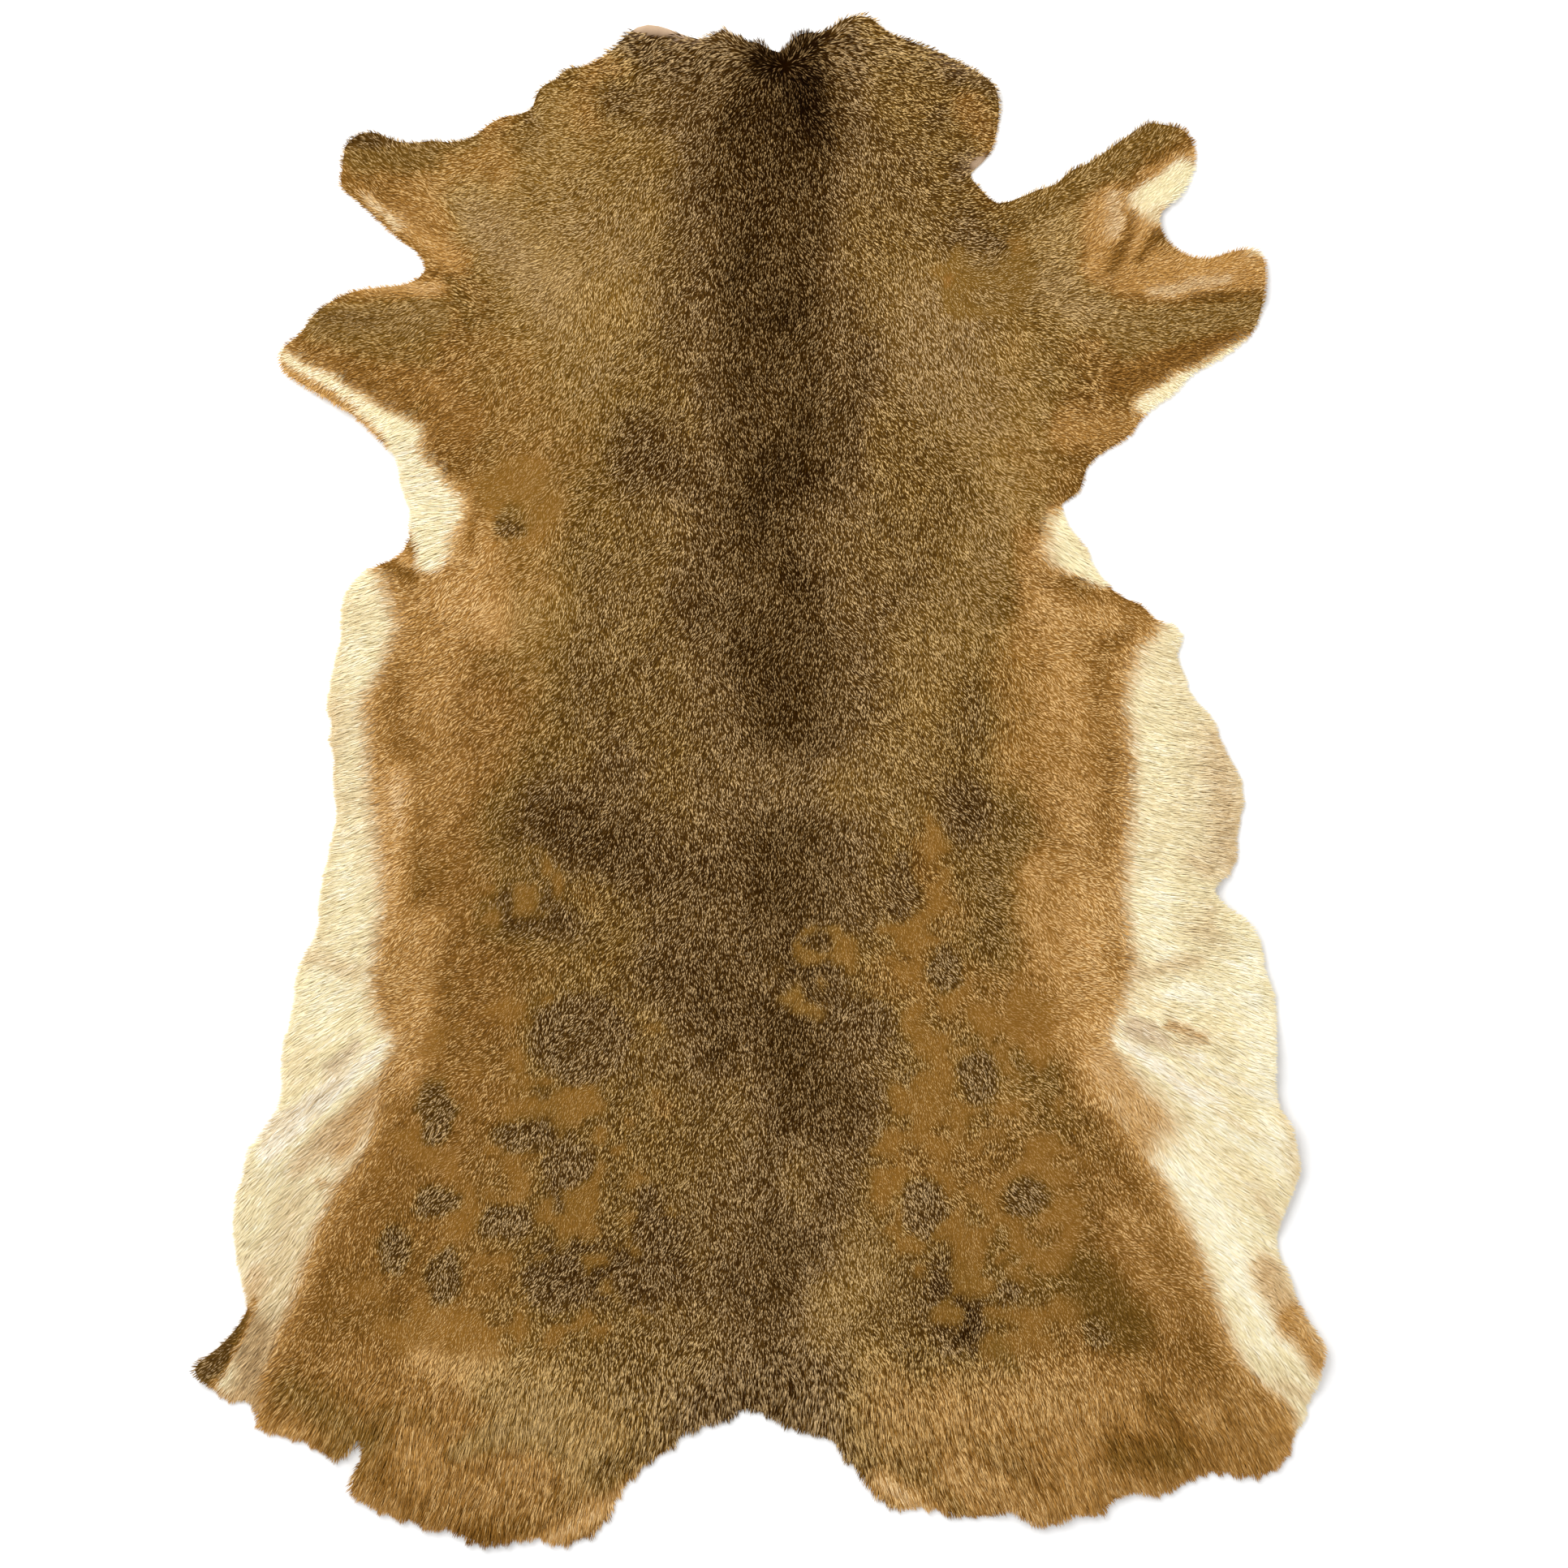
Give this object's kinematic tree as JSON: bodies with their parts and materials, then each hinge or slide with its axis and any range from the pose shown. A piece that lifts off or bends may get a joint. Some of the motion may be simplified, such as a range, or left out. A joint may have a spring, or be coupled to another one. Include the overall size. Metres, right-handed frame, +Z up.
{
  "type": "deerhide rug",
  "caption": "A flat one-piece deerhide rug: a tanned skin with its hair left on, in the natural outline of neck, legs and rump, brown with pale belly edges.",
  "frame": {"origin": "on the floor, under the middle of the hide's bounding box", "axes": "+Z is up and the hair side, +Y points from the rump to the neck, +X to the right as seen from above"},
  "size_m": [0.911, 1.23, 0.0232],
  "materials": {
    "coat": "short lying deer hair on tanned skin: ticked dark brown back, tawny flanks, cream belly"
  },
  "bodies": {
    "root": {"hide": "coat"}
  },
  "joints": []
}
